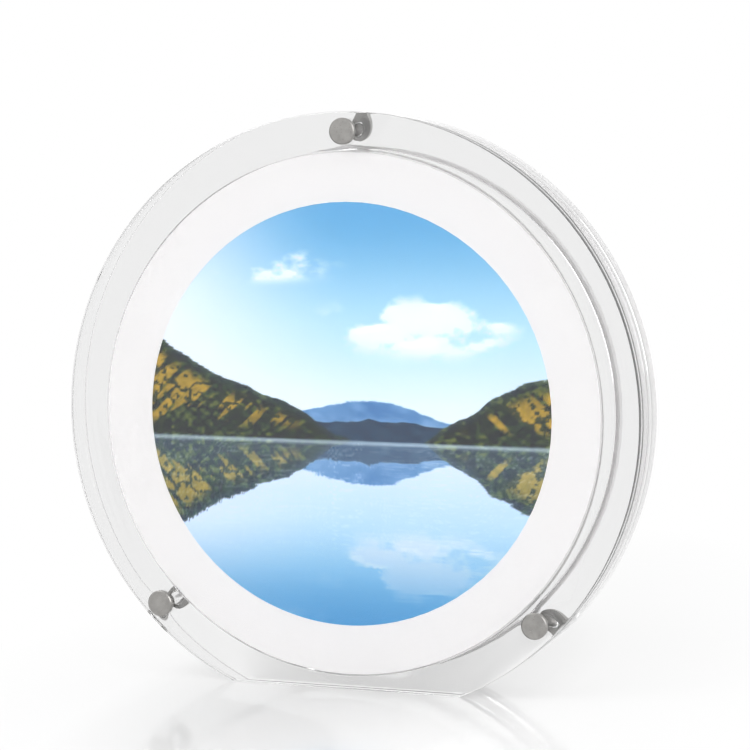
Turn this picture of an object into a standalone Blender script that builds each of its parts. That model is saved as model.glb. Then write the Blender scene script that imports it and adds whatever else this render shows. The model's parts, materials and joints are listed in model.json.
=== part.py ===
"""A round table-top photo display: a clear acrylic disc with a flat foot, a white display module
in its bore, and three metal standoffs that hold the thin front panel to the thick body.

Metres, +Z up. The object faces -Y and stands on Z = 0 with the origin under its middle.
"""

import math

import bmesh
import bpy
from mathutils import Matrix, Vector

MM = 0.001

# Facets round a full turn
LARGE_SEGMENT_COUNT = 76
MEDIUM_SEGMENT_COUNT = 28
SMALL_SEGMENT_COUNT = 16
TINY_SEGMENT_COUNT = 8

# Clearances
SEAT_GAP = 0.3 * MM
RUNNING_GAP = 0.3 * MM

# The round picture and the module round it, which every larger radius follows
WINDOW_RADIUS = 63.35 * MM
MAT_WIDTH = 14.65 * MM
MODULE_RADIUS = WINDOW_RADIUS + MAT_WIDTH
COVER_LAP = 1.2 * MM
COVER_RADIUS = MODULE_RADIUS + COVER_LAP

# Standoffs: cap, shank and foot
CAP_RADIUS = 3.95 * MM
CAP_HEIGHT = 1.6 * MM
CAP_EDGE = 0.3 * MM
FOOT_HEIGHT = 2.0 * MM
SHANK_RADIUS = 1.6 * MM
SLEEVE_RADIUS = 2.0 * MM
SLEEVE_SHARE = 0.4
SHANK_BITE = 0.7 * MM
STANDOFF_HOLE_RADIUS = SLEEVE_RADIUS + RUNNING_GAP
STANDOFF_ANGLES = {"top": 90.0, "left": 225.0, "right": 315.0}
STANDOFF_SIDE_GAP = 1.05 * MM
STANDOFF_CIRCLE_RADIUS = COVER_RADIUS + STANDOFF_SIDE_GAP + CAP_RADIUS

# Acrylic disc with a flat foot
STANDOFF_TO_RIM = 5.8 * MM
DISC_RADIUS = STANDOFF_CIRCLE_RADIUS + STANDOFF_TO_RIM
FOOT_CUT = 7.65 * MM
CENTRE_HEIGHT = DISC_RADIUS - FOOT_CUT
PANEL_THICKNESS = 3.0 * MM
BODY_THICKNESS = 18.4 * MM
EDGE_BREAK = 0.3 * MM

# Display module
SHELL_WALL = 2.0 * MM
MAT_THICKNESS = 0.8 * MM
SCREEN_RECESS = 0.1 * MM
SCREEN_FLANGE = 2.6 * MM
SCREEN_THICKNESS = 2.0 * MM
BACKLIGHT_THICKNESS = 3.5 * MM
LEDGE_THICKNESS = 2.0 * MM
FRAME_PLATE = 0.8 * MM
FRAME_SLOT = (26.0 * MM, 5.0 * MM)
FRAME_SLOT_DROP = 52.0 * MM
LIGHTENING_RADIUS = 11.0 * MM
LIGHTENING_OFFSET = 56.0 * MM

# Circuit boards on posts of the mid frame
BOARD_SIZE = (84.0 * MM, 52.0 * MM)
BOARD_CENTRE = (0.0, -4.0 * MM)
BOARD_THICKNESS = 1.2 * MM
BOARD_CORNER = 5.0 * MM
POST_RADIUS = 2.4 * MM
POST_INSET = 4.5 * MM
BOARD_POST_HEIGHT = 2.0 * MM
KEY_POST_HEIGHT = 4.6 * MM
KEY_BOARD_SIZE = (52.0 * MM, 11.0 * MM)
PROCESSOR_SIZE = (14.0 * MM, 14.0 * MM, 1.6 * MM)
PROCESSOR_PLACE = (-16.0 * MM, 2.0 * MM)
RADIO_SIZE = (13.0 * MM, 12.0 * MM, 2.2 * MM)
RADIO_PLACE = (12.0 * MM, 8.0 * MM)

# Sockets that face the back
USB_SIZE = (8.9 * MM, 3.2 * MM)
USB_MOUTH = (8.3 * MM, 2.6 * MM)
USB_WALL_DEPTH = 6.0 * MM
USB_PLACE = (-20.0 * MM, -18.0 * MM)
USB_SET_BACK = 0.8 * MM
CARD_SIZE = (14.0 * MM, 2.6 * MM)
CARD_MOUTH = (11.4 * MM, 1.2 * MM)
CARD_WALL_DEPTH = 5.0 * MM
CARD_PLACE = (20.0 * MM, -17.0 * MM)

# Rear cover
COVER_THICKNESS = 3.0 * MM
COVER_EDGE = 0.4 * MM
COVER_SCREW_ANGLES = (0.0, 90.0, 180.0, 270.0)
SCREW_HEAD_RADIUS = 2.4 * MM
SCREW_HEAD_HEIGHT = 1.3 * MM
SCREW_SHAFT_RADIUS = 1.1 * MM
SCREW_LENGTH = 8.0 * MM
SCREW_RECESS_RADIUS = 1.1 * MM
SCREW_RECESS_DEPTH = 0.8 * MM
BOSS_RADIUS = 3.4 * MM
COVER_SCREW_CIRCLE = MODULE_RADIUS - SHELL_WALL - BOSS_RADIUS * 0.75

# Keys on the back
KEY_NAMES = ("previous_button", "power_button", "next_button")
KEY_PITCH = 16.0 * MM
KEY_HEIGHT_ABOVE_CENTRE = 50.0 * MM
KEY_RADIUS = 4.0 * MM
KEY_FLANGE_RADIUS = 5.2 * MM
KEY_FLANGE = 1.0 * MM
KEY_PROUD = 0.8 * MM
KEY_EDGE = 0.4 * MM
KEY_TRAVEL = 0.6 * MM
SWITCH_SIDE = 6.0 * MM
SWITCH_STEM_RADIUS = 1.6 * MM
SWITCH_STEM = 0.8 * MM

# Speaker and its grille
SPEAKER_RADIUS = 14.0 * MM
SPEAKER_DEPTH = 4.4 * MM
SPEAKER_DROP = 48.0 * MM
GRILLE_PITCH = 3.8 * MM
GRILLE_RINGS = 2
GRILLE_HOLE_RADIUS = 0.8 * MM

# Air slots above the keys
VENT_COUNT = 11
VENT_PITCH = 4.0 * MM
VENT_SIZE = (1.4 * MM, 9.0 * MM)
VENT_ABOVE_CENTRE = 20.0 * MM

# Depths, measured back from the front face of the front panel
BODY_FRONT = PANEL_THICKNESS + SEAT_GAP
BODY_BACK = BODY_FRONT + BODY_THICKNESS
MAT_FRONT = PANEL_THICKNESS + SEAT_GAP
MAT_BACK = MAT_FRONT + MAT_THICKNESS
SCREEN_FRONT = MAT_FRONT + SCREEN_RECESS
SCREEN_SHOULDER = MAT_BACK + SEAT_GAP
SCREEN_BACK = SCREEN_SHOULDER + SCREEN_THICKNESS
BACKLIGHT_FRONT = SCREEN_BACK + SEAT_GAP
BACKLIGHT_BACK = BACKLIGHT_FRONT + BACKLIGHT_THICKNESS
FRAME_FRONT = BACKLIGHT_BACK + SEAT_GAP
FRAME_BACK = FRAME_FRONT + FRAME_PLATE
BOARD_FRONT = FRAME_BACK + BOARD_POST_HEIGHT + SEAT_GAP
BOARD_BACK = BOARD_FRONT + BOARD_THICKNESS
KEY_BOARD_FRONT = FRAME_BACK + KEY_POST_HEIGHT + SEAT_GAP
KEY_BOARD_BACK = KEY_BOARD_FRONT + BOARD_THICKNESS
COVER_FRONT = BODY_BACK + SEAT_GAP
COVER_BACK = COVER_FRONT + COVER_THICKNESS
SHELL_FRONT = MAT_BACK + SEAT_GAP
KEY_FLANGE_BACK = COVER_FRONT - SEAT_GAP
KEY_FLANGE_FRONT = KEY_FLANGE_BACK - KEY_FLANGE
SWITCH_TOP = KEY_FLANGE_FRONT - KEY_TRAVEL - SEAT_GAP
CAP_BACK = -SEAT_GAP
CAP_FRONT = CAP_BACK - CAP_HEIGHT
FOOT_FRONT = BODY_BACK + SEAT_GAP
FOOT_BACK = FOOT_FRONT + FOOT_HEIGHT
DEEPEST = max(COVER_BACK + KEY_PROUD, FOOT_BACK)

# The origin is under the middle of the whole depth
FRONT_FACE_Y = -(CAP_FRONT + DEEPEST) / 2.0

BORE_RADIUS = MODULE_RADIUS + RUNNING_GAP
SHELL_INNER_RADIUS = MODULE_RADIUS - SHELL_WALL
SCREEN_FLANGE_RADIUS = WINDOW_RADIUS + SCREEN_FLANGE
LEDGE_INNER_RADIUS = SCREEN_FLANGE_RADIUS + RUNNING_GAP
FRAME_RADIUS = SHELL_INNER_RADIUS - RUNNING_GAP

# Looks: colour, roughness, metallic, share of light let through
CLEAR = ("clear_acrylic", (0.95, 0.97, 0.97), 0.02, 0.0, 0.95)
WHITE = ("white_plastic", (0.90, 0.89, 0.89), 0.45, 0.0, 0.0)
STEEL = ("satin_nickel", (0.60, 0.59, 0.57), 0.28, 1.0, 0.0)
SCREEN = ("screen_glass", (0.30, 0.55, 0.80), 0.10, 0.0, 0.0)
BOARD = ("board_green", (0.05, 0.25, 0.12), 0.50, 0.0, 0.0)
CHIP = ("chip_black", (0.03, 0.03, 0.03), 0.50, 0.0, 0.0)
PLATED = ("plated_steel", (0.72, 0.72, 0.70), 0.35, 1.0, 0.0)
KEY_GREY = ("key_grey", (0.55, 0.55, 0.55), 0.50, 0.0, 0.0)


def clear_scene():
    for obj in list(bpy.data.objects):
        bpy.data.objects.remove(obj, do_unlink=True)


def collection_named(name):
    made = bpy.data.collections.new(name)
    bpy.context.scene.collection.children.link(made)
    return made


def material_of(look):
    name, colour, roughness, metallic, clear = look
    material = bpy.data.materials.get(name)
    if material is None:
        material = bpy.data.materials.new(name)
        material.use_nodes = True
        shader = material.node_tree.nodes["Principled BSDF"]
        shader.inputs["Base Color"].default_value = (*colour, 1.0)
        shader.inputs["Roughness"].default_value = roughness
        shader.inputs["Metallic"].default_value = metallic
        shader.inputs["Transmission Weight"].default_value = clear
    return material


def add_object(name, data, look, collection):
    obj = bpy.data.objects.new(name, data)
    collection.objects.link(obj)
    if look is not None:
        data.materials.append(material_of(look))
    return obj


def place(x, depth, z):
    """The point at x, at this depth behind the front face, and at z above the disc's centre."""
    return Vector((x, FRONT_FACE_Y + depth, CENTRE_HEIGHT + z))


# Turns a flat shape drawn in X and Y so that it faces -Y and its own +Z runs back along +Y
FACING_FRONT = Matrix(((1, 0, 0, 0), (0, 0, 1, 0), (0, 1, 0, 0), (0, 0, 0, 1)))


def settle(obj, x, depth, z):
    """Puts an object drawn along its own +Z so that it runs back from this place."""
    obj.matrix_world = Matrix.Translation(place(x, depth, z)) @ FACING_FRONT


def turned(name, profile, look, steps):
    """A profile of (radius, depth) pairs turned about its own axis by a Screw modifier."""
    mesh = bpy.data.meshes.new(name)
    points = [(radius, 0.0, depth) for radius, depth in profile]
    ring = [(i, (i + 1) % len(points)) for i in range(len(points))]
    on_axis = profile[0][0] == 0.0 and profile[-1][0] == 0.0
    mesh.from_pydata(points, ring[:-1] if on_axis else ring, [])
    obj = add_object(name, mesh, look, parts)
    screw = obj.modifiers.new("turn", "SCREW")
    screw.steps = steps
    screw.render_steps = steps
    screw.use_merge_vertices = True
    screw.merge_threshold = 0.00001
    screw.use_normal_calculate = True
    return obj


def made_solid(obj):
    """Replaces an object's modifiers by the mesh that they make, turned to face the front."""
    bpy.context.view_layer.update()
    matrix = obj.matrix_world.copy()
    graph = bpy.context.evaluated_depsgraph_get()
    mesh = bpy.data.meshes.new_from_object(obj.evaluated_get(graph))
    solid = bmesh.new()
    solid.from_mesh(mesh)
    bmesh.ops.remove_doubles(solid, verts=solid.verts, dist=0.000001)
    bmesh.ops.transform(solid, matrix=FACING_FRONT, verts=solid.verts)
    bmesh.ops.recalc_face_normals(solid, faces=solid.faces)
    solid.to_mesh(mesh)
    solid.free()
    name = obj.name
    bpy.data.objects.remove(obj, do_unlink=True)
    made = bpy.data.objects.new(name, mesh)
    parts.objects.link(made)
    made.location = matrix.translation
    mesh.shade_smooth()
    mesh.set_sharp_from_angle(angle=math.radians(35.0))
    return made


def circle_points(radius, x=0.0, y=0.0, steps=MEDIUM_SEGMENT_COUNT):
    turn = [2.0 * math.pi * i / steps for i in range(steps)]
    return [(x + radius * math.cos(a), y + radius * math.sin(a)) for a in turn]


def footed_disc_points(radius, foot_depth, steps):
    """A circle cut off by a level chord at foot_depth below its centre."""
    start = -math.asin(foot_depth / radius)
    sweep = math.pi - 2.0 * start
    return [
        (radius * math.cos(start + sweep * i / steps), radius * math.sin(start + sweep * i / steps))
        for i in range(steps + 1)
    ]


def rounded_box_points(size, radius, steps=2):
    half_x, half_y = size[0] / 2.0 - radius, size[1] / 2.0 - radius
    corners = ((half_x, half_y), (-half_x, half_y), (-half_x, -half_y), (half_x, -half_y))
    points = []
    for turn, (cx, cy) in enumerate(corners):
        for i in range(steps + 1):
            a = math.pi / 2.0 * (turn + i / steps)
            points.append((cx + radius * math.cos(a), cy + radius * math.sin(a)))
    return points


def plate(name, loops, thickness, look, edge_break=0.0):
    """A flat outline with holes as a filled 2D curve, extruded to its thickness behind z = 0."""
    curve = bpy.data.curves.new(name, "CURVE")
    curve.dimensions = "2D"
    curve.fill_mode = "BOTH"
    curve.extrude = thickness / 2.0 - edge_break
    curve.bevel_depth = edge_break
    curve.bevel_resolution = 0
    curve.offset = -edge_break
    for loop in loops:
        spline = curve.splines.new("POLY")
        spline.points.add(len(loop) - 1)
        for point, (x, y) in zip(spline.points, loop):
            point.co = (x, y, 0.0, 1.0)
        spline.use_cyclic_u = True
    obj = add_object(name, curve, look, parts)
    curve.transform(Matrix.Translation((0.0, 0.0, thickness / 2.0)))
    return obj


def laid_plate(name, loops, thickness, look, x, depth, z, edge_break=0.0):
    obj = plate(name, loops, thickness, look, edge_break)
    settle(obj, x, depth, z)
    return made_solid(obj)


def laid_turned(name, profile, look, x, depth, z, steps):
    obj = turned(name, profile, look, steps)
    settle(obj, x, depth, z)
    return made_solid(obj)


def box_tool(size, x, depth, z):
    """A box of (width, height, depth) whose front face is centred at this place."""
    tool = bmesh.new()
    bmesh.ops.create_cube(tool, size=1.0)
    scale = Matrix.Diagonal((size[0], size[1], size[2], 1.0))
    bmesh.ops.transform(tool, matrix=Matrix.Translation((0, 0, size[2] / 2.0)) @ scale, verts=tool.verts)
    return in_place(tool, x, depth, z)


def rod_tool(radius, length, x, depth, z, steps=SMALL_SEGMENT_COUNT):
    tool = bmesh.new()
    bmesh.ops.create_cone(tool, cap_ends=True, segments=steps, radius1=radius, radius2=radius, depth=length)
    bmesh.ops.translate(tool, vec=(0, 0, length / 2.0), verts=tool.verts)
    return in_place(tool, x, depth, z)


def in_place(tool, x, depth, z):
    """Moves a tool's mesh to its place, and keeps its faces pointing out."""
    matrix = Matrix.Translation(place(x, depth, z)) @ FACING_FRONT
    bmesh.ops.transform(tool, matrix=matrix, verts=tool.verts)
    bmesh.ops.recalc_face_normals(tool, faces=tool.faces)
    return tool


def joined_tool(name, tools):
    """Several shapes that don't meet, as one hidden helper object."""
    mesh = bpy.data.meshes.new(name)
    whole = bmesh.new()
    for tool in tools:
        tool.to_mesh(mesh)
        whole.from_mesh(mesh)
        tool.free()
    whole.to_mesh(mesh)
    whole.free()
    obj = add_object(name, mesh, None, cutters)
    obj.hide_render = True
    obj.display_type = "WIRE"
    return obj


def combine(obj, tools, operation):
    helper = joined_tool(f"{obj.name}_{operation.lower()}", tools)
    boolean = obj.modifiers.new(operation.lower(), "BOOLEAN")
    boolean.operation = operation
    boolean.object = helper
    boolean.solver = "EXACT"


def block(name, size, look, x, depth, z):
    """A plain rectangular solid of (width, height, depth)."""
    mesh = bpy.data.meshes.new(name)
    tool = box_tool(size, x, depth, z)
    tool.to_mesh(mesh)
    tool.free()
    return add_object(name, mesh, look, parts)


def standoff_places():
    for side, angle in STANDOFF_ANGLES.items():
        a = math.radians(angle)
        yield side, STANDOFF_CIRCLE_RADIUS * math.cos(a), STANDOFF_CIRCLE_RADIUS * math.sin(a)


def cover_screw_places():
    for number, angle in enumerate(COVER_SCREW_ANGLES, start=1):
        a = math.radians(angle)
        yield number, COVER_SCREW_CIRCLE * math.cos(a), COVER_SCREW_CIRCLE * math.sin(a)


def board_post_places(size, centre):
    for side_x in (-1, 1):
        for side_z in (-1, 1):
            yield (
                centre[0] + side_x * (size[0] / 2.0 - POST_INSET),
                centre[1] + side_z * (size[1] / 2.0 - POST_INSET),
            )


def key_post_places():
    reach = KEY_BOARD_SIZE[0] / 2.0 - POST_RADIUS
    return [(-reach, KEY_HEIGHT_ABOVE_CENTRE), (reach, KEY_HEIGHT_ABOVE_CENTRE)]


def make_acrylic():
    outline = footed_disc_points(DISC_RADIUS, CENTRE_HEIGHT, LARGE_SEGMENT_COUNT)
    holes = [circle_points(STANDOFF_HOLE_RADIUS, x, z, SMALL_SEGMENT_COUNT) for _, x, z in standoff_places()]
    bore = circle_points(BORE_RADIUS, steps=LARGE_SEGMENT_COUNT)
    laid_plate("front_panel", [outline, *holes], PANEL_THICKNESS, CLEAR, 0.0, 0.0, 0.0, EDGE_BREAK)
    laid_plate(
        "acrylic_body", [outline, bore, *holes], BODY_THICKNESS, CLEAR, 0.0, BODY_FRONT, 0.0, EDGE_BREAK
    )


def make_standoffs():
    hollow = SHANK_RADIUS + RUNNING_GAP
    pocket = SHANK_BITE + SEAT_GAP
    cap = [
        (0.0, 0.0),
        (CAP_RADIUS - CAP_EDGE, 0.0),
        (CAP_RADIUS, CAP_EDGE),
        (CAP_RADIUS, CAP_HEIGHT),
        (hollow, CAP_HEIGHT),
        (hollow, CAP_HEIGHT - pocket),
        (0.0, CAP_HEIGHT - pocket),
    ]
    foot = [
        (0.0, pocket),
        (hollow, pocket),
        (hollow, 0.0),
        (CAP_RADIUS, 0.0),
        (CAP_RADIUS, FOOT_HEIGHT - CAP_EDGE),
        (CAP_RADIUS - CAP_EDGE, FOOT_HEIGHT),
        (0.0, FOOT_HEIGHT),
    ]
    shank_front = CAP_BACK - SHANK_BITE
    shank_length = FOOT_FRONT + SHANK_BITE - shank_front
    sleeve_front = shank_length - SLEEVE_SHARE * BODY_THICKNESS
    sleeve_back = shank_length - SHANK_BITE - SEAT_GAP
    shank = [
        (0.0, 0.0),
        (SHANK_RADIUS, 0.0),
        (SHANK_RADIUS, sleeve_front),
        (SLEEVE_RADIUS, sleeve_front),
        (SLEEVE_RADIUS, sleeve_back),
        (SHANK_RADIUS, sleeve_back),
        (SHANK_RADIUS, shank_length),
        (0.0, shank_length),
    ]
    for side, x, z in standoff_places():
        laid_turned(f"standoff_cap_{side}", cap, STEEL, x, CAP_FRONT, z, MEDIUM_SEGMENT_COUNT)
        laid_turned(f"standoff_shank_{side}", shank, STEEL, x, shank_front, z, SMALL_SEGMENT_COUNT)
        laid_turned(f"standoff_foot_{side}", foot, STEEL, x, FOOT_FRONT, z, MEDIUM_SEGMENT_COUNT)


def make_display():
    mat = [circle_points(MODULE_RADIUS, steps=LARGE_SEGMENT_COUNT), circle_points(WINDOW_RADIUS, steps=LARGE_SEGMENT_COUNT)]
    laid_plate("mat_ring", mat, MAT_THICKNESS, WHITE, 0.0, MAT_FRONT, 0.0)
    shoulder = SCREEN_SHOULDER - SCREEN_FRONT
    plateau_radius = WINDOW_RADIUS - RUNNING_GAP
    screen = [
        (0.0, 0.0),
        (plateau_radius, 0.0),
        (plateau_radius, shoulder),
        (SCREEN_FLANGE_RADIUS, shoulder),
        (SCREEN_FLANGE_RADIUS, SCREEN_BACK - SCREEN_FRONT),
        (0.0, SCREEN_BACK - SCREEN_FRONT),
    ]
    laid_turned("lcd_panel", screen, SCREEN, 0.0, SCREEN_FRONT, 0.0, LARGE_SEGMENT_COUNT)
    backlight = [
        (0.0, 0.0),
        (SCREEN_FLANGE_RADIUS, 0.0),
        (SCREEN_FLANGE_RADIUS, BACKLIGHT_THICKNESS),
        (0.0, BACKLIGHT_THICKNESS),
    ]
    laid_turned("backlight_unit", backlight, WHITE, 0.0, BACKLIGHT_FRONT, 0.0, LARGE_SEGMENT_COUNT)


def make_shell():
    """The white side wall, with a ledge for the mid frame and bosses for the cover screws."""
    length = BODY_BACK - SHELL_FRONT
    ledge_back = FRAME_FRONT - SEAT_GAP - SHELL_FRONT
    ledge_front = ledge_back - LEDGE_THICKNESS
    wall = [
        (MODULE_RADIUS, 0.0),
        (MODULE_RADIUS, length),
        (SHELL_INNER_RADIUS, length),
        (SHELL_INNER_RADIUS, ledge_back),
        (LEDGE_INNER_RADIUS, ledge_back),
        (LEDGE_INNER_RADIUS, ledge_front),
        (SHELL_INNER_RADIUS, ledge_front),
        (SHELL_INNER_RADIUS, 0.0),
    ]
    shell = laid_turned("module_shell", wall, WHITE, 0.0, SHELL_FRONT, 0.0, LARGE_SEGMENT_COUNT)
    boss_front = FRAME_BACK + SEAT_GAP
    boss_length = BODY_BACK - boss_front
    pilot_radius = SCREW_SHAFT_RADIUS + RUNNING_GAP
    pilot_start = boss_front + boss_length * 0.2
    bosses = [rod_tool(BOSS_RADIUS, boss_length, x, boss_front, z) for _, x, z in cover_screw_places()]
    pilots = [
        rod_tool(pilot_radius, boss_length + SEAT_GAP, x, pilot_start, z, TINY_SEGMENT_COUNT)
        for _, x, z in cover_screw_places()
    ]
    combine(shell, bosses, "UNION")
    combine(shell, pilots, "DIFFERENCE")


def make_mid_frame():
    """A steel plate that carries the boards on pressed posts."""
    outline = circle_points(FRAME_RADIUS, steps=LARGE_SEGMENT_COUNT)
    lightening = [
        circle_points(LIGHTENING_RADIUS, side * LIGHTENING_OFFSET, 0.0) for side in (-1, 1)
    ]
    slot = [
        (x, y - FRAME_SLOT_DROP) for x, y in rounded_box_points(FRAME_SLOT, FRAME_SLOT[1] / 2.2)
    ]
    frame = laid_plate(
        "mid_frame", [outline, slot, *lightening], FRAME_PLATE, PLATED, 0.0, FRAME_FRONT, 0.0
    )
    root = FRAME_BACK - FRAME_PLATE / 2.0
    posts = [
        rod_tool(POST_RADIUS, BOARD_POST_HEIGHT + FRAME_PLATE / 2.0, x, root, z, TINY_SEGMENT_COUNT)
        for x, z in board_post_places(BOARD_SIZE, BOARD_CENTRE)
    ]
    posts += [
        rod_tool(POST_RADIUS, KEY_POST_HEIGHT + FRAME_PLATE / 2.0, x, root, z, TINY_SEGMENT_COUNT)
        for x, z in key_post_places()
    ]
    combine(frame, posts, "UNION")


def make_boards():
    board = rounded_box_points(BOARD_SIZE, BOARD_CORNER)
    laid_plate(
        "main_board", [board], BOARD_THICKNESS, BOARD, BOARD_CENTRE[0], BOARD_FRONT, BOARD_CENTRE[1]
    )
    keys = rounded_box_points(KEY_BOARD_SIZE, BOARD_CORNER / 2.0)
    laid_plate(
        "key_board", [keys], BOARD_THICKNESS, BOARD, 0.0, KEY_BOARD_FRONT, KEY_HEIGHT_ABOVE_CENTRE
    )
    on_board = BOARD_BACK + SEAT_GAP
    block("processor", PROCESSOR_SIZE, CHIP, PROCESSOR_PLACE[0], on_board, PROCESSOR_PLACE[1])
    block("radio_module", RADIO_SIZE, PLATED, RADIO_PLACE[0], on_board, RADIO_PLACE[1])


def make_socket(name, size, mouth, mouth_depth, spot, back):
    """A socket that stands on the main board with its mouth towards the back."""
    front = BOARD_BACK + SEAT_GAP
    x, z = spot
    shell = rounded_box_points(size, size[1] / 2.0 * 0.8)
    socket = laid_plate(name, [shell], back - front, PLATED, x, front, z)
    opening = box_tool((*mouth, mouth_depth + SEAT_GAP), x, back - mouth_depth, z)
    combine(socket, [opening], "DIFFERENCE")


def make_rear_cover():
    outline = circle_points(COVER_RADIUS, steps=LARGE_SEGMENT_COUNT)
    holes = []
    for i in range(len(KEY_NAMES)):
        x = (i - 1) * KEY_PITCH
        holes.append(circle_points(KEY_RADIUS + RUNNING_GAP, x, KEY_HEIGHT_ABOVE_CENTRE))
    for size, spot in ((USB_SIZE, USB_PLACE), (CARD_SIZE, CARD_PLACE)):
        opening = (size[0] + 2.0 * RUNNING_GAP, size[1] + 2.0 * RUNNING_GAP)
        corner = opening[1] / 2.0 * 0.8
        holes.append([(x + spot[0], z + spot[1]) for x, z in rounded_box_points(opening, corner)])
    for i in range(VENT_COUNT):
        across = (i - (VENT_COUNT - 1) / 2.0) * VENT_PITCH
        slot = rounded_box_points(VENT_SIZE, VENT_SIZE[0] * 0.4, 1)
        holes.append([(x + across, z + VENT_ABOVE_CENTRE) for x, z in slot])
    for x, z in grille_places():
        holes.append(circle_points(GRILLE_HOLE_RADIUS, x, z - SPEAKER_DROP, TINY_SEGMENT_COUNT))
    for _, x, z in cover_screw_places():
        holes.append(circle_points(SCREW_SHAFT_RADIUS + RUNNING_GAP, x, z, TINY_SEGMENT_COUNT))
    cover = laid_plate(
        "rear_cover", [outline, *holes], COVER_THICKNESS, WHITE, 0.0, COVER_FRONT, 0.0, COVER_EDGE
    )
    seat_radius = SCREW_HEAD_RADIUS + RUNNING_GAP
    seat_front = COVER_BACK - SCREW_HEAD_HEIGHT - SEAT_GAP
    seats = [
        rod_tool(seat_radius, SCREW_HEAD_HEIGHT + 2.0 * SEAT_GAP, x, seat_front, z)
        for _, x, z in cover_screw_places()
    ]
    combine(cover, seats, "DIFFERENCE")


def grille_places():
    """A hexagonal field of hole centres, ring by ring round its middle."""
    yield 0.0, 0.0
    for ring in range(1, GRILLE_RINGS + 1):
        for i in range(6 * ring):
            side, step = divmod(i, ring)
            a, b = math.radians(60.0 * side), math.radians(60.0 * (side + 1))
            share = step / ring
            x = math.cos(a) * (1.0 - share) + math.cos(b) * share
            z = math.sin(a) * (1.0 - share) + math.sin(b) * share
            yield GRILLE_PITCH * ring * x, GRILLE_PITCH * ring * z


def make_keys():
    travel_top = COVER_BACK + KEY_PROUD - KEY_FLANGE_FRONT
    key = [
        (0.0, 0.0),
        (KEY_FLANGE_RADIUS, 0.0),
        (KEY_FLANGE_RADIUS, KEY_FLANGE),
        (KEY_RADIUS, KEY_FLANGE),
        (KEY_RADIUS, travel_top - KEY_EDGE),
        (KEY_RADIUS - KEY_EDGE, travel_top),
        (0.0, travel_top),
    ]
    switch_front = KEY_BOARD_BACK + SEAT_GAP
    body_height = SWITCH_TOP - SWITCH_STEM - switch_front
    for i, name in enumerate(KEY_NAMES):
        x = (i - 1) * KEY_PITCH
        laid_turned(name, key, KEY_GREY, x, KEY_FLANGE_FRONT, KEY_HEIGHT_ABOVE_CENTRE, MEDIUM_SEGMENT_COUNT)
        switch = block(
            name.replace("button", "switch"),
            (SWITCH_SIDE, SWITCH_SIDE, body_height),
            CHIP,
            x,
            switch_front,
            KEY_HEIGHT_ABOVE_CENTRE,
        )
        stem = rod_tool(
            SWITCH_STEM_RADIUS,
            SWITCH_STEM + body_height / 2.0,
            x,
            switch_front + body_height / 2.0,
            KEY_HEIGHT_ABOVE_CENTRE,
            TINY_SEGMENT_COUNT,
        )
        combine(switch, [stem], "UNION")


def make_speaker():
    rim = SPEAKER_RADIUS * 0.12
    speaker = [
        (0.0, 0.0),
        (SPEAKER_RADIUS * 0.55, 0.0),
        (SPEAKER_RADIUS * 0.55, SPEAKER_DEPTH * 0.45),
        (SPEAKER_RADIUS, SPEAKER_DEPTH * 0.7),
        (SPEAKER_RADIUS, SPEAKER_DEPTH),
        (SPEAKER_RADIUS - rim, SPEAKER_DEPTH),
        (SPEAKER_RADIUS * 0.35, SPEAKER_DEPTH * 0.72),
        (0.0, SPEAKER_DEPTH * 0.82),
    ]
    depth = COVER_FRONT - SEAT_GAP - SPEAKER_DEPTH
    laid_turned("speaker", speaker, CHIP, 0.0, depth, -SPEAKER_DROP, MEDIUM_SEGMENT_COUNT)


def make_cover_screws():
    head_back = SCREW_LENGTH + SCREW_HEAD_HEIGHT
    screw = [
        (0.0, 0.0),
        (SCREW_SHAFT_RADIUS, 0.0),
        (SCREW_SHAFT_RADIUS, SCREW_LENGTH),
        (SCREW_HEAD_RADIUS, SCREW_LENGTH),
        (SCREW_HEAD_RADIUS, head_back),
        (SCREW_RECESS_RADIUS, head_back),
        (SCREW_RECESS_RADIUS, head_back - SCREW_RECESS_DEPTH),
        (0.0, head_back - SCREW_RECESS_DEPTH),
    ]
    for number, x, z in cover_screw_places():
        laid_turned(f"cover_screw_{number}", screw, PLATED, x, COVER_BACK - head_back, z, SMALL_SEGMENT_COUNT)


clear_scene()
parts = collection_named("round_photo_display")
cutters = collection_named("cutters")
make_acrylic()
make_standoffs()
make_display()
make_shell()
make_mid_frame()
make_boards()
make_socket("usb_socket", USB_SIZE, USB_MOUTH, USB_WALL_DEPTH, USB_PLACE, COVER_BACK - USB_SET_BACK)
make_socket("card_socket", CARD_SIZE, CARD_MOUTH, CARD_WALL_DEPTH, CARD_PLACE, COVER_BACK - USB_SET_BACK)
make_rear_cover()
make_keys()
make_speaker()
make_cover_screws()
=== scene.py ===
"""The looks of a round table-top photo display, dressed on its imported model."""

import json
import math

import bmesh
import bpy
import numpy as np
from mathutils import Matrix, Vector


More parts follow.
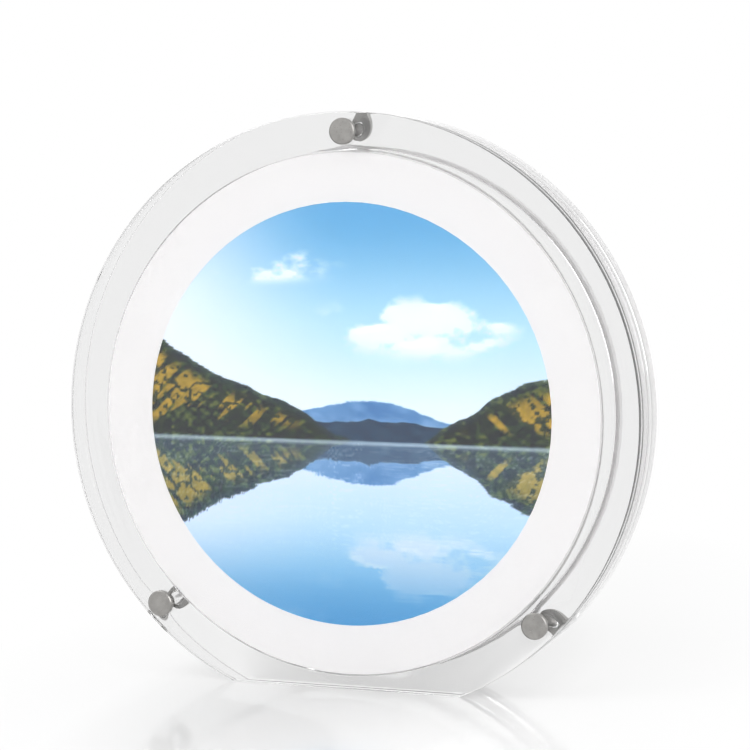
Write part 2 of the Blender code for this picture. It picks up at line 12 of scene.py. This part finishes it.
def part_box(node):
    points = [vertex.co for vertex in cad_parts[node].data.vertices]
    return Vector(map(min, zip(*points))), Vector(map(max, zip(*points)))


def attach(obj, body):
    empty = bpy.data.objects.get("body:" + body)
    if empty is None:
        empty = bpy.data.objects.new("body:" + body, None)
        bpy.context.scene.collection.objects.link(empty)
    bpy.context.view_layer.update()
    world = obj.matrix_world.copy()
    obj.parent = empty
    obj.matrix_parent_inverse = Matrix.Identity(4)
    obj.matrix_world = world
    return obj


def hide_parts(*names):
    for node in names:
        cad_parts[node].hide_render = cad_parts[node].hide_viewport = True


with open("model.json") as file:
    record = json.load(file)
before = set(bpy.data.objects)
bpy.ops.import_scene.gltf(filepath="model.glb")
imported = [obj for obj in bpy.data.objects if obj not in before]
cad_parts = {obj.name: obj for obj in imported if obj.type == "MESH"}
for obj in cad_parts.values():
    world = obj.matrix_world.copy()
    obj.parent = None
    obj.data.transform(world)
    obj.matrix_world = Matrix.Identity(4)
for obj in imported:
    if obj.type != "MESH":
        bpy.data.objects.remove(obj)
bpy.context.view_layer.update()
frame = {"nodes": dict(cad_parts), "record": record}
nodes = frame["nodes"]

MM = 0.001

# Measured from the model
front_low, front_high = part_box("front_panel")
screen_low, screen_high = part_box("lcd_panel")
DISC_RADIUS = (front_high[0] - front_low[0]) / 2.0
CENTRE = Vector((0.0, front_low[1], front_high[2] - DISC_RADIUS))
FOOT_DROP = CENTRE.z

# Clear plates
PLATE_EDGE = 0.3 * MM
SEAT_GAP = 0.3 * MM
STANDOFF_HOLE = 2.3 * MM
EDGE_STEPS = 4
ARC_STEPS = 900
BORE_STEPS = 240
HOLE_STEPS = 64
CRISP_ANGLE = math.radians(40.0)

# Clear acrylic, whose tint is what is left of the light after the way through
ACRYLIC_IOR = 1.49
FRONT_TINT = 0.985
BODY_TINT = 0.85

# White mouldings, and the strength of a painted glow on the mat ring and module shell round the picture,
# which stands in for the light the clear plates keep off them
WHITE_TONE = (0.90, 0.885, 0.89)
MAT_TONE = (0.93, 0.915, 0.92)
MAT_PAINTED_GLOW_COLOUR = (1.0, 0.99, 0.995, 1.0)
MAT_PAINTED_GLOW = 0.20

# Picture
WINDOW_RADIUS = 63.3 * MM
PICTURE_LIFT = 0.02 * MM
PICTURE_THICKNESS = 0.015 * MM
PICTURE_RINGS = 130
PICTURE_SPOKES = 720
PICTURE_GLOW = 0.42
PICTURE_ROUGHNESS = 0.35

# Floor and room
FLOOR_REACH = 12.0
FLOOR_TONE = 0.85
FLOOR_ROUGHNESS = 0.9
FLOOR_OWN_WHITE = 0.78
FLOOR_SHEEN_ROUGHNESS = 0.10
FLOOR_SHEEN_IOR = 1.38
# Painted shade on the floor round the foot, besides its real shadow: its stretch, reach and darkest tone
SHADE_SQUEEZE = (2.8, 1.0, 1.0)
SHADE_REACH = (0.04, 0.18)
SHADE_TONE = 0.70
FADE_REACH = (0.15, 0.36)
DOME_LEVEL = 1.05

# Lamps
KEY_PLACE = (-0.7, -0.9, 1.1)
KEY_SIZE = (0.9, 0.9)
KEY_POWER = 16.0
FILL_PLACE = (1.0, -0.6, 0.6)
FILL_SIZE = (0.7, 0.9)
FILL_POWER = 5.0

# Camera, from a fit of the disc, the picture and the standoffs
CAMERA_DISTANCE = 8.403 * DISC_RADIUS
CAMERA_AZIMUTH = math.radians(19.639)
CAMERA_ELEVATION = math.radians(4.502)
CAMERA_ACROSS = 0.1033 * DISC_RADIUS
CAMERA_UP = 0.1348 * DISC_RADIUS
FOCAL_PIXELS = 2546.7
IMAGE_PIXELS = 750.0
SENSOR = 36.0


class Finish:
    """Short calls for building one material's node tree."""

    def __init__(self, name):
        self.material = bpy.data.materials.new(name)
        self.material.use_nodes = True
        self.tree = self.material.node_tree
        self.shader = self.tree.nodes["Principled BSDF"]
        self.output = self.tree.nodes["Material Output"]

    def add(self, kind, **settings):
        node = self.tree.nodes.new(kind)
        for key, value in settings.items():
            setattr(node, key, value)
        return node

    def link(self, source, target):
        self.tree.links.new(source, target)

    def feed(self, value, target):
        """Links a socket, or sets a plain value."""
        if isinstance(value, bpy.types.NodeSocket):
            self.link(value, target)
        else:
            target.default_value = value

    def feed_shader(self, socket, value):
        self.feed(value, self.shader.inputs[socket])

    def coords(self, scale=(1.0, 1.0, 1.0)):
        source = self.add("ShaderNodeTexCoord")
        mapping = self.add("ShaderNodeMapping")
        mapping.inputs["Scale"].default_value = scale
        self.link(source.outputs["Object"], mapping.inputs["Vector"])
        return mapping.outputs["Vector"]

    def noise(self, vector, scale, detail, roughness):
        node = self.add("ShaderNodeTexNoise")
        node.inputs["Scale"].default_value = scale
        node.inputs["Detail"].default_value = detail
        node.inputs["Roughness"].default_value = roughness
        self.link(vector, node.inputs["Vector"])
        return node.outputs["Fac"]

    def reach(self, vector):
        node = self.add("ShaderNodeVectorMath", operation="LENGTH")
        self.link(vector, node.inputs[0])
        return node.outputs["Value"]

    def math(self, operation, a, b):
        node = self.add("ShaderNodeMath", operation=operation)
        self.feed(a, node.inputs[0])
        self.feed(b, node.inputs[1])
        return node.outputs[0]

    def spread(self, value, low, high, to_low, to_high):
        node = self.add("ShaderNodeMapRange", clamp=True)
        self.feed(value, node.inputs["Value"])
        node.inputs["From Min"].default_value = low
        node.inputs["From Max"].default_value = high
        node.inputs["To Min"].default_value = to_low
        node.inputs["To Max"].default_value = to_high
        return node.outputs["Result"]

    def mix(self, share, a, b):
        """From colour a to colour b, by share."""
        node = self.add("ShaderNodeMix", data_type="RGBA")
        self.feed(share, node.inputs["Factor"])
        node.inputs["A"].default_value = (*a, 1.0)
        node.inputs["B"].default_value = (*b, 1.0)
        return node.outputs["Result"]

    def mix_shaders(self, share, a, b):
        node = self.add("ShaderNodeMixShader")
        self.feed(share, node.inputs["Fac"])
        self.link(a, node.inputs[1])
        self.link(b, node.inputs[2])
        return node.outputs["Shader"]

    def bump(self, height, strength, distance):
        node = self.add("ShaderNodeBump")
        node.inputs["Strength"].default_value = strength
        node.inputs["Distance"].default_value = distance
        self.link(height, node.inputs["Height"])
        self.link(node.outputs["Normal"], self.shader.inputs["Normal"])


def clear_acrylic(name, tint):
    """Polished cast acrylic, with a trace of smears on its faces."""
    m = Finish(name)
    smear = m.noise(m.coords(), 60.0, 3.0, 0.6)
    m.feed_shader("Base Color", (tint, tint, tint, 1.0))
    m.feed_shader("Roughness", m.spread(smear, 0.35, 0.75, 0.0, 0.02))
    m.feed_shader("Transmission Weight", 1.0)
    m.feed_shader("IOR", ACRYLIC_IOR)
    return m.material


def white_plastic(name, colour, painted_glow=0.0):
    """Fine-grained matt moulding, which can be given a painted glow though it is no lamp."""
    m = Finish(name)
    grain = m.noise(m.coords(), 2400.0, 2.0, 0.6)
    cloud = m.noise(m.coords(), 30.0, 3.0, 0.5)
    shade = m.spread(cloud, 0.3, 0.7, 0.985, 1.0)
    low = tuple(c * 0.97 for c in colour)
    m.feed_shader("Base Color", m.mix(shade, low, colour))
    m.feed_shader("Roughness", m.spread(grain, 0.3, 0.7, 0.40, 0.55))
    m.bump(grain, 0.15, 0.00005)
    # Painted glow: emission on a moulding that is no lamp, off unless a strength is given
    m.feed_shader("Emission Color", MAT_PAINTED_GLOW_COLOUR)
    m.feed_shader("Emission Strength", painted_glow)
    return m.material


def satin_nickel():
    """Satin metal, with fine turned rings round each standoff and an uneven gloss."""
    m = Finish("satin_nickel_look")
    fine = m.noise(m.coords(), 1500.0, 3.0, 0.6)
    rings = m.noise(m.coords((1.0, 60.0, 1.0)), 260.0, 4.0, 0.6)
    tone = m.mix(m.spread(rings, 0.3, 0.7, 0.0, 1.0), (0.28, 0.272, 0.262), (0.38, 0.371, 0.357))
    m.feed_shader("Base Color", tone)
    m.feed_shader("Metallic", 1.0)
    m.feed_shader("Roughness", m.spread(fine, 0.3, 0.7, 0.26, 0.36))
    m.bump(rings, 0.12, 0.00004)
    return m.material


def plated_steel():
    """Zinc-plated sheet, with faint spangles and rolling lines."""
    m = Finish("plated_steel_look")
    grain = m.noise(m.coords((40.0, 1.0, 1.0)), 300.0, 4.0, 0.6)
    spangle = m.noise(m.coords(), 220.0, 2.0, 0.5)
    m.feed_shader("Base Color", m.mix(spangle, (0.58, 0.58, 0.57), (0.76, 0.76, 0.74)))
    m.feed_shader("Metallic", 1.0)
    m.feed_shader("Roughness", m.spread(grain, 0.3, 0.7, 0.25, 0.45))
    m.bump(grain, 0.15, 0.00004)
    return m.material


def solder_resist():
    """Green board lacquer, a little cloudy."""
    m = Finish("board_green_look")
    cloud = m.noise(m.coords(), 500.0, 3.0, 0.6)
    m.feed_shader("Base Color", m.mix(cloud, (0.02, 0.14, 0.06), (0.04, 0.24, 0.10)))
    m.feed_shader("Roughness", m.spread(cloud, 0.3, 0.7, 0.30, 0.45))
    m.bump(cloud, 0.1, 0.00005)
    return m.material


def moulded(name, dark, light, rough):
    """Grained moulding, between two tones."""
    m = Finish(name)
    grain = m.noise(m.coords(), 1800.0, 3.0, 0.6)
    m.feed_shader("Base Color", m.mix(grain, dark, light))
    m.feed_shader("Roughness", m.spread(grain, 0.3, 0.7, rough - 0.07, rough + 0.07))
    m.bump(grain, 0.2, 0.00005)
    return m.material


# The picture: a bay between two wooded capes. u and w run from -1 to 1 across the round window.
HORIZON = -0.12
SKY_LOW = (0.91, 0.955, 0.98)
SKY_MIDDLE = (0.66, 0.84, 0.94)
SKY_TOP = (0.34, 0.64, 0.84)
SKY_HAZE = (0.95, 0.965, 1.0)
CLOUD_LIGHT = (1.0, 1.0, 1.0)
CLOUD_SHADE = (0.80, 0.87, 0.93)
RANGE_DARK = (0.20, 0.42, 0.66)
RANGE_LIGHT = (0.46, 0.64, 0.82)
RANGE_MIST = (0.75, 0.86, 0.94)
FOOTHILL_DARK = (0.07, 0.16, 0.28)
FOOTHILL_LIGHT = (0.18, 0.30, 0.40)
WOOD_GAPS = (0.03, 0.07, 0.10)
WOOD_CROWNS = (0.11, 0.20, 0.13)
WOOD_SUNLIT = (0.33, 0.37, 0.15)
GRASS_DARK = (0.45, 0.38, 0.10)
GRASS_SUNLIT = (0.86, 0.68, 0.20)
BUSHES = (0.06, 0.12, 0.09)
CREST_HAZE = (0.24, 0.33, 0.42)
WATER_TINT = (0.03, 0.07, 0.11)
WATER_PALE = (0.93, 0.96, 1.0)
WATER_DEEP = (0.16, 0.50, 0.74)
WATER_GLINT = (0.93, 0.97, 1.0)
SHORE_LINE = (0.86, 0.93, 0.97)

# Side, reach towards the middle, height and first seed of each cape
CAPES = ((-1.0, 1.05, 0.50, 52), (1.0, 0.62, 0.36, 71))
NOISE_TABLE = 64


def smoothstep(t):
    """3 t^2 - 2 t^3, level at both ends."""
    return t * t * (3.0 - 2.0 * t)


def smooth_noise(u, w, cells, seed):
    """Value noise: random numbers on a grid, joined by smoothstep curves."""
    table = np.random.default_rng(seed).random((NOISE_TABLE, NOISE_TABLE))
    x = (u * 0.5 + 0.5) * cells
    y = (w * 0.5 + 0.5) * cells
    left = np.floor(x).astype(int)
    low = np.floor(y).astype(int)
    across = smoothstep(x - left)
    up = smoothstep(y - low)
    right = (left + 1) % NOISE_TABLE
    high = (low + 1) % NOISE_TABLE
    left = left % NOISE_TABLE
    low = low % NOISE_TABLE
    below = table[left, low] * (1 - across) + table[right, low] * across
    above = table[left, high] * (1 - across) + table[right, high] * across
    return below * (1 - up) + above * up


def layered_noise(u, w, cells, seed, layers=5):
    """Octaves of value noise, each twice as fine and half as strong."""
    total = np.zeros_like(u)
    weight = 0.0
    for i in range(layers):
        share = 0.5 ** i
        total += share * smooth_noise(u, w, cells * 2 ** i, seed + i)
        weight += share
    return total / weight


def step_between(low, high, value):
    return smoothstep(np.clip((value - low) / (high - low), 0.0, 1.0))


def bell(value, middle, width):
    """exp(-((value - middle) / width)^2)"""
    return np.exp(-(((value - middle) / width) ** 2))


def plain(u, colour):
    return np.zeros(u.shape + (3,)) + np.array(colour)


def blend(base, colour, share):
    """From base to colour by share, point by point."""
    return base * (1.0 - share[..., None]) + np.array(colour) * share[..., None]


def cloud_cover(u, w, group):
    puffs = layered_noise(u * 1.3 + 0.3, w, 7, 23, 7)
    return step_between(0.56, 0.74, puffs * 0.95 + 0.20 * group)


def sky_colours(u, w):
    """Blue above, pale at the horizon and to the left, with two groups of clouds."""
    height = np.clip((w - HORIZON) / (1.0 - HORIZON), 0.0, 1.0)
    sky = blend(plain(u, SKY_LOW), SKY_MIDDLE, step_between(0.0, 0.60, height))
    sky = blend(sky, SKY_TOP, step_between(0.45, 1.0, height))
    sky = blend(sky, SKY_HAZE, step_between(0.25, -0.95, u + 0.25 * height) * 0.80)
    group = bell(u, 0.38, 0.42) * bell(w, 0.42, 0.12)
    group += 0.9 * bell(u, -0.42, 0.30) * bell(w, 0.70, 0.07)
    cloud = cloud_cover(u, w * 2.6, group) * step_between(0.05, 0.60, group)
    sky = blend(sky, CLOUD_LIGHT, cloud)
    shade = cloud_cover(u, w * 2.6 + 0.05, group) * cloud
    return blend(sky, CLOUD_SHADE, shade * 0.45)


def skyline(u, base, height, cells, seed):
    """The height of a ridge at each u, with a jagged edge of trees or rock."""
    shape = layered_noise(u, np.zeros_like(u), cells, seed, 7)
    return base + height * (shape - 0.4)


def overlay_land(out, colours, top, w, soft):
    """Lays colours over the picture below the ridge line."""
    return blend(out, colours, step_between(-soft, soft, top - w))


def far_range(out, u, w):
    top = skyline(u, HORIZON + 0.10 + 0.10 * bell(u, 0.10, 0.24), 0.12, 6, 41)
    tone = layered_noise(u + w * 0.7, w * 2.0, 26, 45)
    rock = blend(plain(u, RANGE_DARK), RANGE_LIGHT, tone)
    rock = blend(rock, RANGE_MIST, step_between(0.15, 0.0, w - HORIZON) * 0.5)
    return overlay_land(out, rock, top, w, 0.004)


def foothills(out, u, w):
    top = skyline(u, HORIZON + 0.065, 0.09, 9, 48)
    tone = layered_noise(u, w * 2.0, 40, 49)
    return overlay_land(out, blend(plain(u, FOOTHILL_DARK), FOOTHILL_LIGHT, tone), top, w, 0.003)


def wooded(u, w, seed):
    """Tree crowns: fine light tops over dark gaps."""
    crowns = layered_noise(u, w * 1.3, 90, seed, 3)
    clumps = layered_noise(u, w * 1.8, 11, seed + 9, 4)
    slope = blend(plain(u, WOOD_GAPS), WOOD_CROWNS, step_between(0.38, 0.62, crowns))
    return blend(slope, WOOD_SUNLIT, step_between(0.54, 0.76, crowns * 0.6 + clumps * 0.45))


def cape(out, u, w, side, reach, rise, seed):
    """A wooded slope that falls towards the middle, with sunlit meadows in streaks downhill."""
    run = np.clip(1.0 - (1.0 - side * u) / reach, -1.0, 1.0)
    top = skyline(u, HORIZON - 0.02 + rise * np.clip(run, -0.2, 1.0), 0.10, 8, seed)
    slope = wooded(u, w, seed + 5)
    streak = layered_noise(u * 0.8, (0.9 * u * side + w) * 4.0, 10, seed + 11, 6)
    edge = layered_noise(u, w, 48, seed + 17, 3)
    field = bell(w, HORIZON + 0.62 * rise * run, 0.22 * rise)
    meadow = step_between(0.54, 0.63, streak + 0.10 * field + 0.10 * (edge - 0.5))
    meadow *= step_between(0.03, 0.10, top - w) * step_between(0.02, 0.10, w - HORIZON)
    grass = blend(plain(u, GRASS_DARK), GRASS_SUNLIT, layered_noise(u, w, 64, seed + 3))
    slope = blend(slope, grass, 0.92 * meadow)
    spots = step_between(0.54, 0.64, layered_noise(u, w * 1.2, 90, seed + 23, 2))
    slope = blend(slope, BUSHES, spots * 0.8)
    slope = blend(slope, CREST_HAZE, step_between(0.05, 0.0, top - w) * 0.35)
    return overlay_land(out, slope, top, w, 0.003)


def land_colours(sky, u, w):
    """A blue range far off, foothills, then a cape at each side, over the sky."""
    out = foothills(far_range(sky, u, w), u, w)
    for side, reach, rise, seed in CAPES:
        out = cape(out, u, w, side, reach, rise, seed)
    return out


def water_colours(u, w):
    """The land mirrored at the horizon, shaken by chop and swell, and bluer near the viewer."""
    depth = np.clip(HORIZON - w, 0.0, None)
    chop = layered_noise(u * 0.7, w * 16.0, 18, 91, 4) - 0.5
    swell = layered_noise(u * 0.4, w * 6.0, 9, 95, 3) - 0.5
    mirrored = HORIZON + depth * 0.92 + (0.05 * chop + 0.03 * swell) * (0.15 + 1.6 * depth)
    shaken = u + 0.02 * chop * (0.3 + depth)
    mirror = land_colours(sky_colours(u, mirrored), shaken, mirrored)
    water = mirror * 0.86 + np.array(WATER_TINT)
    water = blend(water, WATER_PALE, step_between(0.30, 0.05, depth) * 0.15)
    water = blend(water, WATER_DEEP, step_between(0.35, 0.95, depth) * 0.75)
    glint = step_between(0.60, 0.74, layered_noise(u * 1.4, w * 34.0, 22, 97, 4))
    water = blend(water, WATER_GLINT, glint * 0.22 * step_between(0.75, 0.20, depth))
    return blend(water, SHORE_LINE, bell(depth, 0.012, 0.010) * 0.55)


def picture_colours(u, w):
    wet = step_between(-0.002, 0.002, HORIZON - w)
    above = land_colours(sky_colours(u, w), u, w)
    return np.clip(blend(above, water_colours(u, w), wet), 0.0, 1.0)


def to_linear(colour):
    """The sRGB curve undone."""
    return np.where(colour <= 0.04045, colour / 12.92, ((colour + 0.055) / 1.055) ** 2.4)

def new_object(name, mesh):
    obj = bpy.data.objects.new(name, mesh)
    bpy.context.scene.collection.objects.link(obj)
    return obj


def picture_finish():
    """A lit screen, which also gives back some of the room's light."""
    m = Finish("picture_look")
    source = m.add("ShaderNodeVertexColor", layer_name="picture")
    m.feed_shader("Base Color", source.outputs["Color"])
    m.feed_shader("Emission Color", source.outputs["Color"])
    m.feed_shader("Emission Strength", PICTURE_GLOW)
    m.feed_shader("Roughness", PICTURE_ROUGHNESS)
    m.feed_shader("Specular IOR Level", 0.0)
    return m.material


def make_picture():
    """A round grid just before the panel's face, coloured point by point.

    Ring i of N has radius r = R * i / N, and its points stand at equal angles."""
    rings = PICTURE_RINGS
    spokes = PICTURE_SPOKES
    share = np.arange(1, rings + 1) / rings
    turn = np.arange(spokes) * 2.0 * math.pi / spokes
    r, a = np.meshgrid(share, turn, indexing="ij")
    u = np.concatenate(([0.0], (r * np.cos(a)).ravel()))
    w = np.concatenate(([0.0], (r * np.sin(a)).ravel()))
    depth = np.full(u.shape, screen_low[1] - PICTURE_LIFT)
    front = np.column_stack((u * WINDOW_RADIUS, depth, CENTRE.z + w * WINDOW_RADIUS))
    back = front[-spokes:] + (0.0, PICTURE_THICKNESS, 0.0)
    points = np.concatenate((front, back))
    i, k = np.meshgrid(np.arange(rings - 1), np.arange(spokes), indexing="ij")
    here = (1 + i * spokes + k).ravel()
    beside = (1 + i * spokes + (k + 1) % spokes).ravel()
    quads = np.column_stack((here, here + spokes, beside + spokes, beside))
    k = np.arange(spokes)
    n = (k + 1) % spokes
    fan = np.column_stack((np.zeros(spokes, int), 1 + k, 1 + n))
    outer = 1 + (rings - 1) * spokes
    behind = len(front)
    rim = np.column_stack((outer + k, behind + k, behind + n, outer + n))
    reverse = [(behind + k[::-1]).tolist()]
    mesh = bpy.data.meshes.new("picture")
    mesh.from_pydata(points.tolist(), [], quads.tolist() + fan.tolist() + rim.tolist() + reverse)
    colours = to_linear(picture_colours(u, w))
    colours = np.concatenate((colours, colours[-spokes:]))
    layer = mesh.color_attributes.new("picture", "FLOAT_COLOR", "POINT")
    layer.data.foreach_set("color", np.column_stack((colours, np.ones(len(colours)))).ravel())
    mesh.shade_flat()
    mesh.materials.append(picture_finish())
    obj = new_object("picture", mesh)
    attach(obj, "display")


def edge_profile(low, high):
    """Inset and depth of each ring of a plate's wall, from the front face to the back one.

    At angle t of an edge e a ring is inset by e * (1 - cos t) and stands e * (1 - sin t)
    inside its face."""
    t = np.linspace(0.0, math.pi / 2.0, EDGE_STEPS + 1)
    inset = PLATE_EDGE * (1.0 - np.cos(t))
    behind = PLATE_EDGE * (1.0 - np.sin(t))
    return np.concatenate((inset[::-1], inset)), np.concatenate((low + behind[::-1], high - behind))


def disc_outline(radius, inset):
    """x and z round a disc cut level at the foot, one row for each inset.

    With r = radius - inset and f = foot drop - inset, the arc runs from angle -asin(f / r)
    to the same angle on the other side, and the foot closes it."""
    r = radius - inset[:, None]
    start = -np.arcsin((FOOT_DROP - inset[:, None]) / r)
    angle = start + (math.pi - 2.0 * start) * np.arange(ARC_STEPS + 1) / ARC_STEPS
    return r * np.cos(angle), r * np.sin(angle)


def hole_outline(x, z, radius, count, inset):
    """x and z round a hole, one row for each inset, with r = radius + inset."""
    r = radius + inset[:, None]
    angle = -np.arange(count) * 2.0 * math.pi / count
    return x + r * np.cos(angle), z + r * np.sin(angle)


def make_clear_plate(name, low, high, holes, material):
    """A clear plate with fine steps and small rounded edges: the outline and each hole are
    stacks of rings, and flat faces fill what lies between them in front and behind."""
    inset, depth = edge_profile(low[1], high[1])
    outlines = [disc_outline((high[0] - low[0]) / 2.0, inset)]
    outlines += [hole_outline(*hole, inset) for hole in holes]
    points = []
    quads = []
    first = 0
    for x, z in outlines:
        rings, count = x.shape
        y = np.broadcast_to(depth[:, None], x.shape)
        points.append(np.stack((x, y, CENTRE.z + z), axis=-1).reshape(-1, 3))
        i, k = np.meshgrid(np.arange(rings - 1), np.arange(count), indexing="ij")
        here = first + i * count + k
        beside = first + i * count + (k + 1) % count
        quads.append(np.stack((here, beside, beside + count, here + count), axis=-1).reshape(-1, 4))
        first += rings * count
    mesh = bpy.data.meshes.new(name)
    mesh.from_pydata(np.concatenate(points).tolist(), [], np.concatenate(quads).tolist())
    mesh.shade_smooth()
    bm = bmesh.new()
    bm.from_mesh(mesh)
    for face_depth in (low[1], high[1]):
        ends = [e for e in bm.edges if e.is_boundary and abs(e.verts[0].co.y - face_depth) < PLATE_EDGE]
        filled = bmesh.ops.triangle_fill(bm, edges=ends, use_beauty=True)
        for item in filled["geom"]:
            if isinstance(item, bmesh.types.BMFace):
                item.smooth = False
    bmesh.ops.recalc_face_normals(bm, faces=bm.faces)
    bm.to_mesh(mesh)
    bm.free()
    mesh.set_sharp_from_angle(angle=CRISP_ANGLE)
    mesh.materials.append(material)
    obj = new_object(name, mesh)
    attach(obj, "display")
    return obj


def make_acrylic():
    """The front panel and the bored body, each with a hole for every standoff."""
    holes = []
    for side in ("top", "left", "right"):
        low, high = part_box(f"standoff_shank_{side}")
        x = (low[0] + high[0]) / 2.0
        z = (low[2] + high[2]) / 2.0 - CENTRE.z
        holes.append((x, z, STANDOFF_HOLE, HOLE_STEPS))
    low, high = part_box("front_panel")
    front = make_clear_plate("clear_front", low, high, holes, clear_acrylic("clear_front_look", FRONT_TINT))
    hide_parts("front_panel")
    low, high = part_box("module_shell")
    bore = (0.0, 0.0, (high[0] - low[0]) / 2.0 + SEAT_GAP, BORE_STEPS)
    low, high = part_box("acrylic_body")
    finish = clear_acrylic("clear_body_look", BODY_TINT)
    body = make_clear_plate("clear_body", low, high, [bore] + holes, finish)
    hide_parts("acrylic_body")


def assign(name, material):
    slots = nodes[name].material_slots
    if not slots:
        nodes[name].data.materials.append(material)
    for slot in slots:
        slot.link = "OBJECT"
        slot.material = material


def dress_nodes():
    looks = {
        "clear_acrylic": clear_acrylic("clear_acrylic_look", FRONT_TINT),
        "white_plastic": white_plastic("white_plastic_look", WHITE_TONE),
        "satin_nickel": satin_nickel(),
        "plated_steel": plated_steel(),
        "board_green": solder_resist(),
        "chip_black": moulded("chip_black_look", (0.012, 0.012, 0.013), (0.03, 0.03, 0.032), 0.5),
        "key_grey": moulded("key_grey_look", (0.42, 0.42, 0.43), (0.50, 0.50, 0.51), 0.5),
        "screen_glass": moulded("screen_glass_look", (0.01, 0.012, 0.015), (0.02, 0.022, 0.026), 0.2),
    }
    for entry in frame["record"]["subparts"]:
        assign(entry["node"], looks[entry["material_slot"]])
    # Painted glow on the mat ring and module shell, in place of the light the clear plates keep off them
    mat = white_plastic("mat_painted_glow_look", MAT_TONE, MAT_PAINTED_GLOW)
    assign("mat_ring", mat)
    assign("module_shell", mat)


def floor_finish():
    """Pale and shaded under the object, with a mirror sheen, and fading into white further off.

    The camera, gloss and glass see it so. Other rays get the plain matt floor."""
    m = Finish("floor_look")
    m.feed_shader("Base Color", (FLOOR_TONE, FLOOR_TONE, FLOOR_TONE, 1.0))
    m.feed_shader("Roughness", FLOOR_ROUGHNESS)
    m.feed_shader("Specular IOR Level", 0.0)
    matt = m.shader.outputs["BSDF"]
    under = m.reach(m.coords(SHADE_SQUEEZE))
    white = m.add("ShaderNodeEmission")
    white.inputs["Strength"].default_value = 1.0
    # Painted shade: the floor's own white is dimmed towards SHADE_TONE near the foot
    shade = m.add("ShaderNodeEmission")
    m.link(m.spread(under, *SHADE_REACH, SHADE_TONE, 1.0), shade.inputs["Strength"])
    soft = m.mix_shaders(FLOOR_OWN_WHITE, matt, shade.outputs["Emission"])
    gloss = m.add("ShaderNodeBsdfGlossy")
    gloss.inputs["Roughness"].default_value = FLOOR_SHEEN_ROUGHNESS
    fresnel = m.add("ShaderNodeFresnel")
    fresnel.inputs["IOR"].default_value = FLOOR_SHEEN_IOR
    path = m.add("ShaderNodeLightPath")
    camera = path.outputs["Is Camera Ray"]
    sheen = m.math("MULTIPLY", fresnel.outputs["Fac"], camera)
    polished = m.mix_shaders(sheen, soft, gloss.outputs["BSDF"])
    fade = m.spread(under, *FADE_REACH, 0.0, 1.0)
    shown = m.mix_shaders(fade, polished, white.outputs["Emission"])
    glass = m.math("MAXIMUM", camera, path.outputs["Is Transmission Ray"])
    seen = m.math("MAXIMUM", glass, path.outputs["Is Glossy Ray"])
    m.link(m.mix_shaders(seen, matt, shown), m.output.inputs["Surface"])
    return m.material


def make_stage():
    """A plain floor, far wider than the view."""
    far = FLOOR_REACH
    mesh = bpy.data.meshes.new("floor")
    mesh.from_pydata([(-far, -far, 0), (far, -far, 0), (far, far, 0), (-far, far, 0)], [], [(0, 1, 2, 3)])
    mesh.materials.append(floor_finish())
    floor = new_object("floor", mesh)


def make_world():
    """White to the camera, in gloss and through glass, and a soft dome to lit surfaces."""
    world = bpy.data.worlds.new("studio")
    bpy.context.scene.world = world
    world.use_nodes = True
    tree = world.node_tree
    tree.nodes.clear()
    path = tree.nodes.new("ShaderNodeLightPath")
    seen = path.outputs["Is Camera Ray"]
    for ray in ("Is Transmission Ray", "Is Glossy Ray"):
        either = tree.nodes.new("ShaderNodeMath")
        either.operation = "MAXIMUM"
        tree.links.new(seen, either.inputs[0])
        tree.links.new(path.outputs[ray], either.inputs[1])
        seen = either.outputs[0]
    choose = tree.nodes.new("ShaderNodeMixShader")
    tree.links.new(seen, choose.inputs["Fac"])
    for place, level in ((1, DOME_LEVEL), (2, 1.0)):
        light = tree.nodes.new("ShaderNodeBackground")
        light.inputs["Color"].default_value = (1.0, 1.0, 1.0, 1.0)
        light.inputs["Strength"].default_value = level
        tree.links.new(light.outputs[0], choose.inputs[place])
    output = tree.nodes.new("ShaderNodeOutputWorld")
    tree.links.new(choose.outputs[0], output.inputs["Surface"])


def add_lamp(name, place, size, power):
    """A rectangular lamp aimed at the middle of the disc."""
    light = bpy.data.lights.new(name, "AREA")
    light.shape = "RECTANGLE"
    light.size, light.size_y = size
    light.energy = power
    lamp = new_object(name, light)
    lamp.location = place
    aim = Vector((0.0, 0.0, CENTRE.z))
    lamp.rotation_euler = (aim - Vector(place)).to_track_quat("-Z", "Y").to_euler()


def make_camera():
    az, el = CAMERA_AZIMUTH, CAMERA_ELEVATION
    back = Vector((math.sin(az) * math.cos(el), -math.cos(az) * math.cos(el), math.sin(el)))
    across = Vector((math.cos(az), math.sin(az), 0.0))
    up = back.cross(across)
    data = bpy.data.cameras.new("camera")
    data.sensor_width = SENSOR
    data.lens = FOCAL_PIXELS / IMAGE_PIXELS * SENSOR
    camera = new_object("camera", data)
    camera.location = CENTRE + back * CAMERA_DISTANCE + across * CAMERA_ACROSS + Vector((0, 0, CAMERA_UP))
    camera.rotation_euler = Matrix((across, up, back)).transposed().to_euler()
    bpy.context.scene.camera = camera


dress_nodes()
make_acrylic()
make_picture()
make_stage()
make_world()
add_lamp("key_light", KEY_PLACE, KEY_SIZE, KEY_POWER)
add_lamp("fill_light", FILL_PLACE, FILL_SIZE, FILL_POWER)
make_camera()
bpy.context.scene.view_settings.view_transform = "Standard"
